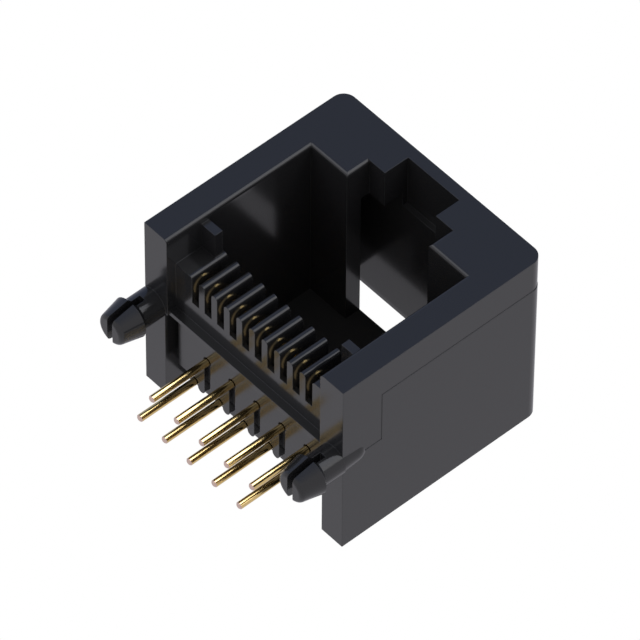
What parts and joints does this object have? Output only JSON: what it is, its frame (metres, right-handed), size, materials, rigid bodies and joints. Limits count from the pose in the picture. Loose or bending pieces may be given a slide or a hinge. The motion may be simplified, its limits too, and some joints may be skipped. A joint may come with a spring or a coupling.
{
  "type": "modular jack",
  "caption": "Right-angle modular jack for a circuit board, with a keyed latch mouth, spring wire contacts, staggered solder tails and split locating pegs.",
  "frame": {"origin": "on the board plane, midway between the axes of the two board pegs", "axes": "+X to the right when looking into the mouth, -Y out of the mouth towards the plug, +Z away from the board, with the pegs and solder tails pointing to -Z"},
  "size_m": [0.0172, 0.0129, 0.018],
  "materials": {
    "housing_plastic": "semi-gloss black moulded plastic",
    "carrier_plastic": "semi-gloss black moulded plastic",
    "contact_metal": "gold-plated drawn wire"
  },
  "bodies": {
    "root": {"housing": "housing_plastic", "contact_carrier": "carrier_plastic", "contact_1": "contact_metal", "contact_2": "contact_metal", "contact_3": "contact_metal", "contact_4": "contact_metal", "contact_5": "contact_metal", "contact_6": "contact_metal", "contact_7": "contact_metal", "contact_8": "contact_metal", "contact_9": "contact_metal", "contact_10": "contact_metal"}
  },
  "joints": []
}
